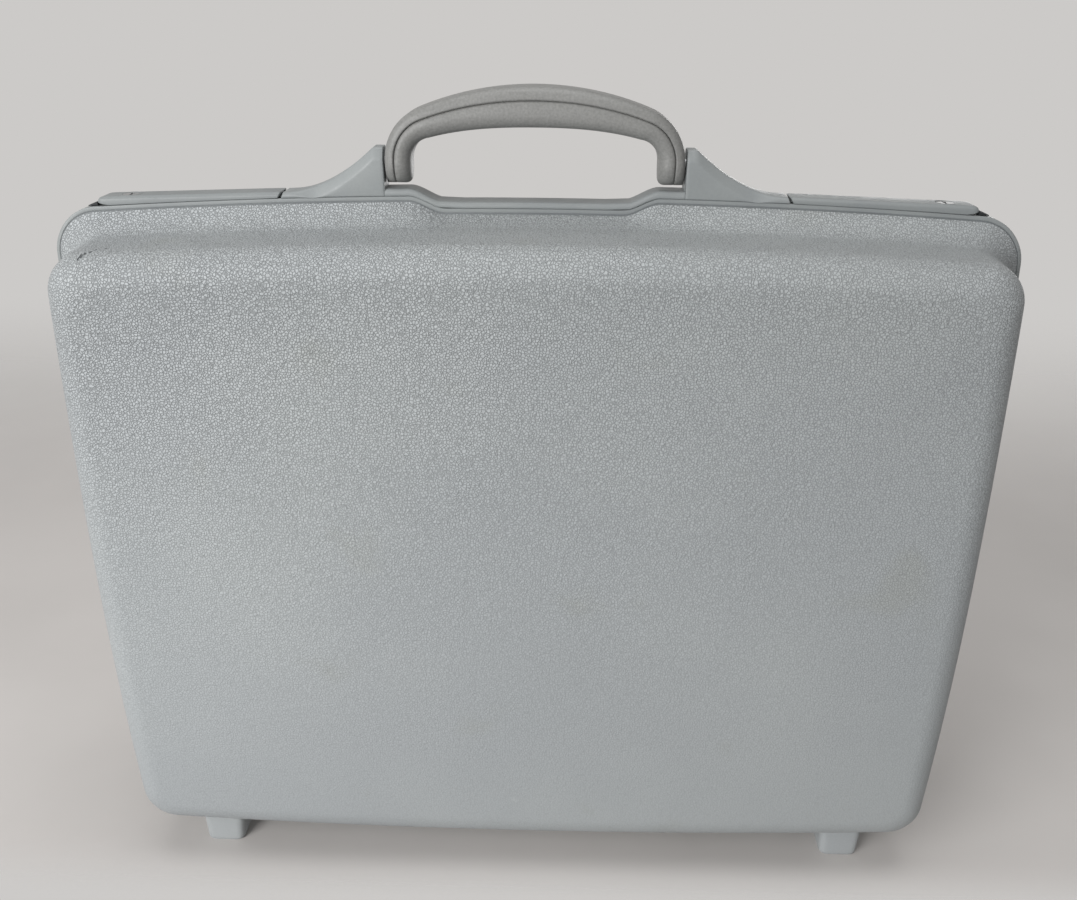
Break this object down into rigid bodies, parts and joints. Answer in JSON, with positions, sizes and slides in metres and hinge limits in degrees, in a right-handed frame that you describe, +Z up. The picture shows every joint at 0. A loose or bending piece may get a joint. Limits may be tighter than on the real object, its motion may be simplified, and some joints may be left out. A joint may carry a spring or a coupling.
{
  "type": "attache case",
  "caption": "Hard moulded attache case on its hinge side: opening lid, carry handle between two towers, lift-up latch levers, turning locks and lid stays.",
  "frame": {"origin": "centre of the closed case in plan, on the floor under its feet", "axes": "+X along the width, +Z up with the handle at the top, +Y towards the rear half; the lid is on the -Y side and the parting plane is Y = 0"},
  "size_m": [0.45, 0.114, 0.401],
  "materials": {
    "shell": "leather grained",
    "trim": "smooth satin",
    "handle": "smooth satin",
    "steel": "plated",
    "lining": "woven"
  },
  "bodies": {
    "body": {"body_shell": "shell", "body_frame": "trim", "body_lining": "lining", "body_feet": "trim", "body_hinge_leaves": "steel", "hinge_pins": "steel", "chassis": "trim", "chassis_screws": "steel", "handle_pins": "steel", "latch_pins": "steel", "latch_springs": "steel", "stay_tracks": "steel"},
    "lid": {"lid_shell": "shell", "lid_frame": "trim", "lid_lining": "lining", "lid_feet": "trim", "lid_hinge_leaves": "steel", "keepers": "steel", "document_pocket": "lining", "stay_brackets": "steel"},
    "handle": {"handle_cover": "handle", "handle_grip": "handle"},
    "latch_left": {"latch_left": "trim", "hook_left": "steel"},
    "latch_right": {"latch_right": "trim", "hook_right": "steel"},
    "lock_left": {"lock_left": "steel"},
    "lock_right": {"lock_right": "steel"},
    "stay_left": {"stay_left": "steel"},
    "stay_right": {"stay_right": "steel"}
  },
  "joints": [
    {"name": "lid_hinge", "type": "hinge", "parent": "body", "child": "lid", "pos_m": [0, 0, 0.0046], "axis": [1, 0, 0], "range_deg": [0, 95]},
    {"name": "handle_pivot", "type": "hinge", "parent": "body", "child": "handle", "pos_m": [0, 0, 0.368], "axis": [1, 0, 0], "range_deg": [-85, 85]},
    {"name": "latch_left_lift", "type": "hinge", "parent": "body", "child": "latch_left", "pos_m": [-0.1166, 0, 0.35337], "axis": [0, 1, 0], "range_deg": [0, 60]},
    {"name": "latch_right_lift", "type": "hinge", "parent": "body", "child": "latch_right", "pos_m": [0.1166, 0, 0.35337], "axis": [0, -1, 0], "range_deg": [0, 60]},
    {"name": "lock_left_turn", "type": "hinge", "parent": "latch_left", "child": "lock_left", "pos_m": [-0.185, 0, 0.355], "axis": [0, 0, 1], "range_deg": [0, 90]},
    {"name": "lock_right_turn", "type": "hinge", "parent": "latch_right", "child": "lock_right", "pos_m": [0.185, 0, 0.355], "axis": [0, 0, 1], "range_deg": [0, 90]},
    {"name": "stay_left_swing", "type": "hinge", "parent": "lid", "child": "stay_left", "pos_m": [-0.197, -0.01, 0.0496], "axis": [1, 0, 0], "range_deg": [-116, 0]},
    {"name": "stay_right_swing", "type": "hinge", "parent": "lid", "child": "stay_right", "pos_m": [0.197, -0.01, 0.0496], "axis": [1, 0, 0], "range_deg": [-116, 0]}
  ],
  "couplings": [
    {"joint": "stay_left_swing", "follows": "lid_hinge", "ratio": -1.22},
    {"joint": "stay_right_swing", "follows": "lid_hinge", "ratio": -1.22}
  ]
}
